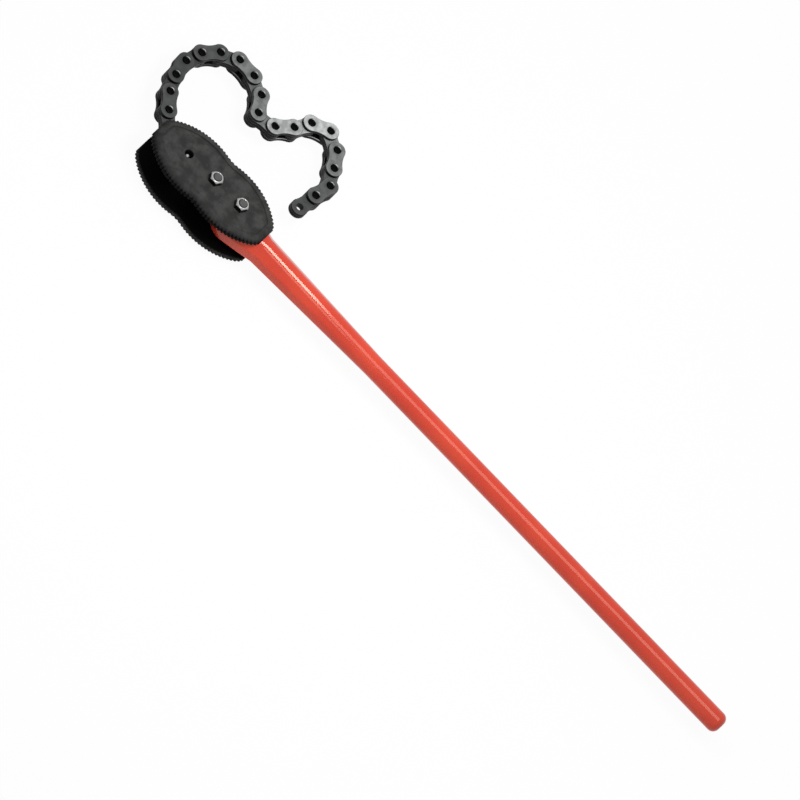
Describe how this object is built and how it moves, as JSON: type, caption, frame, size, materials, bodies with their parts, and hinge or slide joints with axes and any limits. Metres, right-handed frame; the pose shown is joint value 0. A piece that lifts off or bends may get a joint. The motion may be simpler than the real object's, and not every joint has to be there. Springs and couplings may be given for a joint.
{
  "type": "chain pipe wrench",
  "caption": "Chain pipe wrench: a long round forged handle, double-ended toothed jaw plates bolted to it, and a hinged flat-link chain that wraps round a pipe.",
  "frame": {"origin": "on the handle axis, where the round grip ends and the butt rounding starts", "axes": "+X along the handle from the jaws to the butt, +Z square to the jaw plates, +Y towards the side on which the chain lies"},
  "size_m": [1.0128, 0.2438, 0.0744],
  "materials": {
    "red_paint": "satin",
    "jaw_steel": "matte",
    "chain_steel": "satin",
    "pin_steel": "satin",
    "bright_steel": "satin"
  },
  "bodies": {
    "wrench": {"handle": "red_paint", "front_jaw": "jaw_steel", "rear_jaw": "jaw_steel", "middle_bolt": "bright_steel", "tail_bolt": "bright_steel", "middle_nut": "bright_steel", "tail_nut": "bright_steel", "anchor_pin": "bright_steel"},
    "shackle": {"shackle": "jaw_steel", "shackle_pin": "pin_steel"},
    "inner_link_1": {"inner_link_1_front_plate": "chain_steel", "inner_link_1_rear_plate": "chain_steel"},
    "outer_link_1": {"outer_link_1_front_plate": "chain_steel", "outer_link_1_rear_plate": "chain_steel", "outer_link_1_pins": "pin_steel"},
    "inner_link_2": {"inner_link_2_front_plate": "chain_steel", "inner_link_2_rear_plate": "chain_steel"},
    "outer_link_2": {"outer_link_2_front_plate": "chain_steel", "outer_link_2_rear_plate": "chain_steel", "outer_link_2_pins": "pin_steel"},
    "inner_link_3": {"inner_link_3_front_plate": "chain_steel", "inner_link_3_rear_plate": "chain_steel"},
    "outer_link_3": {"outer_link_3_front_plate": "chain_steel", "outer_link_3_rear_plate": "chain_steel", "outer_link_3_pins": "pin_steel"},
    "inner_link_4": {"inner_link_4_front_plate": "chain_steel", "inner_link_4_rear_plate": "chain_steel"},
    "outer_link_4": {"outer_link_4_front_plate": "chain_steel", "outer_link_4_rear_plate": "chain_steel", "outer_link_4_pins": "pin_steel"},
    "inner_link_5": {"inner_link_5_front_plate": "chain_steel", "inner_link_5_rear_plate": "chain_steel"},
    "outer_link_5": {"outer_link_5_front_plate": "chain_steel", "outer_link_5_rear_plate": "chain_steel", "outer_link_5_pins": "pin_steel"},
    "inner_link_6": {"inner_link_6_front_plate": "chain_steel", "inner_link_6_rear_plate": "chain_steel"},
    "outer_link_6": {"outer_link_6_front_plate": "chain_steel", "outer_link_6_rear_plate": "chain_steel", "outer_link_6_pins": "pin_steel"},
    "inner_link_7": {"inner_link_7_front_plate": "chain_steel", "inner_link_7_rear_plate": "chain_steel"},
    "outer_link_7": {"outer_link_7_front_plate": "chain_steel", "outer_link_7_rear_plate": "chain_steel", "outer_link_7_pins": "pin_steel"},
    "inner_link_8": {"inner_link_8_front_plate": "chain_steel", "inner_link_8_rear_plate": "chain_steel"},
    "outer_link_8": {"outer_link_8_front_plate": "chain_steel", "outer_link_8_rear_plate": "chain_steel", "outer_link_8_pins": "pin_steel"},
    "inner_link_9": {"inner_link_9_front_plate": "chain_steel", "inner_link_9_rear_plate": "chain_steel"},
    "outer_link_9": {"outer_link_9_front_plate": "chain_steel", "outer_link_9_rear_plate": "chain_steel", "outer_link_9_pins": "pin_steel"},
    "inner_link_10": {"inner_link_10_front_plate": "chain_steel", "inner_link_10_rear_plate": "chain_steel"}
  },
  "joints": [
    {"name": "shackle_pivot", "type": "hinge", "parent": "wrench", "child": "shackle", "pos_m": [-0.909, 0, 0], "axis": [0, 0, 1], "range_deg": [-18, 60]},
    {"name": "inner_link_1_pivot", "type": "hinge", "parent": "shackle", "child": "inner_link_1", "pos_m": [-0.94537, 0.021, 0], "axis": [0, 0, -1], "range_deg": [-60, 14]},
    {"name": "outer_link_1_pivot", "type": "hinge", "parent": "inner_link_1", "child": "outer_link_1", "pos_m": [-0.96395, 0.03832, 0], "axis": [0, 0, 1], "range_deg": [-12, 60]},
    {"name": "inner_link_2_pivot", "type": "hinge", "parent": "outer_link_1", "child": "inner_link_2", "pos_m": [-0.97888, 0.05887, 0], "axis": [0, 0, -1], "range_deg": [-60, 12]},
    {"name": "outer_link_2_pivot", "type": "hinge", "parent": "inner_link_2", "child": "outer_link_2", "pos_m": [-0.9888, 0.08225, 0], "axis": [0, 0, 1], "range_deg": [-10, 60]},
    {"name": "inner_link_3_pivot", "type": "hinge", "parent": "outer_link_2", "child": "inner_link_3", "pos_m": [-0.99278, 0.10734, 0], "axis": [0, 0, -1], "range_deg": [-60, 10]},
    {"name": "outer_link_3_pivot", "type": "hinge", "parent": "inner_link_3", "child": "outer_link_3", "pos_m": [-0.98706, 0.13209, 0], "axis": [0, 0, 1], "range_deg": [-10, 60]},
    {"name": "inner_link_4_pivot", "type": "hinge", "parent": "outer_link_3", "child": "inner_link_4", "pos_m": [-0.97213, 0.15264, 0], "axis": [0, 0, -1], "range_deg": [-60, 12]},
    {"name": "outer_link_4_pivot", "type": "hinge", "parent": "inner_link_4", "child": "outer_link_4", "pos_m": [-0.95036, 0.16572, 0], "axis": [0, 0, 1], "range_deg": [-14, 60]},
    {"name": "inner_link_5_pivot", "type": "hinge", "parent": "outer_link_4", "child": "inner_link_5", "pos_m": [-0.925, 0.16439, 0], "axis": [0, 0, -1], "range_deg": [-60, 16]},
    {"name": "outer_link_5_pivot", "type": "hinge", "parent": "inner_link_5", "child": "outer_link_5", "pos_m": [-0.90257, 0.15247, 0], "axis": [0, 0, 1], "range_deg": [-20, 60]},
    {"name": "inner_link_6_pivot", "type": "hinge", "parent": "outer_link_5", "child": "inner_link_6", "pos_m": [-0.88949, 0.13069, 0], "axis": [0, 0, -1], "range_deg": [-35, 22]},
    {"name": "outer_link_6_pivot", "type": "hinge", "parent": "inner_link_6", "child": "outer_link_6", "pos_m": [-0.8644, 0.13467, 0], "axis": [0, 0, 1], "range_deg": [-36, 60]},
    {"name": "inner_link_7_pivot", "type": "hinge", "parent": "outer_link_6", "child": "inner_link_7", "pos_m": [-0.84807, 0.15413, 0], "axis": [0, 0, -1], "range_deg": [-60, 50]},
    {"name": "outer_link_7_pivot", "type": "hinge", "parent": "inner_link_7", "child": "outer_link_7", "pos_m": [-0.83774, 0.17733, 0], "axis": [0, 0, 1], "range_deg": [-50, 60]},
    {"name": "inner_link_8_pivot", "type": "hinge", "parent": "outer_link_7", "child": "inner_link_8", "pos_m": [-0.81532, 0.18925, 0], "axis": [0, 0, -1], "range_deg": [-60, 48]},
    {"name": "outer_link_8_pivot", "type": "hinge", "parent": "inner_link_8", "child": "outer_link_8", "pos_m": [-0.79354, 0.17617, 0], "axis": [0, 0, 1], "range_deg": [-50, 60]},
    {"name": "inner_link_9_pivot", "type": "hinge", "parent": "outer_link_8", "child": "inner_link_9", "pos_m": [-0.78046, 0.1544, 0], "axis": [0, 0, -1], "range_deg": [-60, 50]},
    {"name": "outer_link_9_pivot", "type": "hinge", "parent": "inner_link_9", "child": "outer_link_9", "pos_m": [-0.76854, 0.13197, 0], "axis": [0, 0, 1], "range_deg": [-50, 60]},
    {"name": "inner_link_10_pivot", "type": "hinge", "parent": "outer_link_9", "child": "inner_link_10", "pos_m": [-0.77207, 0.10682, 0], "axis": [0, 0, -1], "range_deg": [-60, 50]}
  ]
}
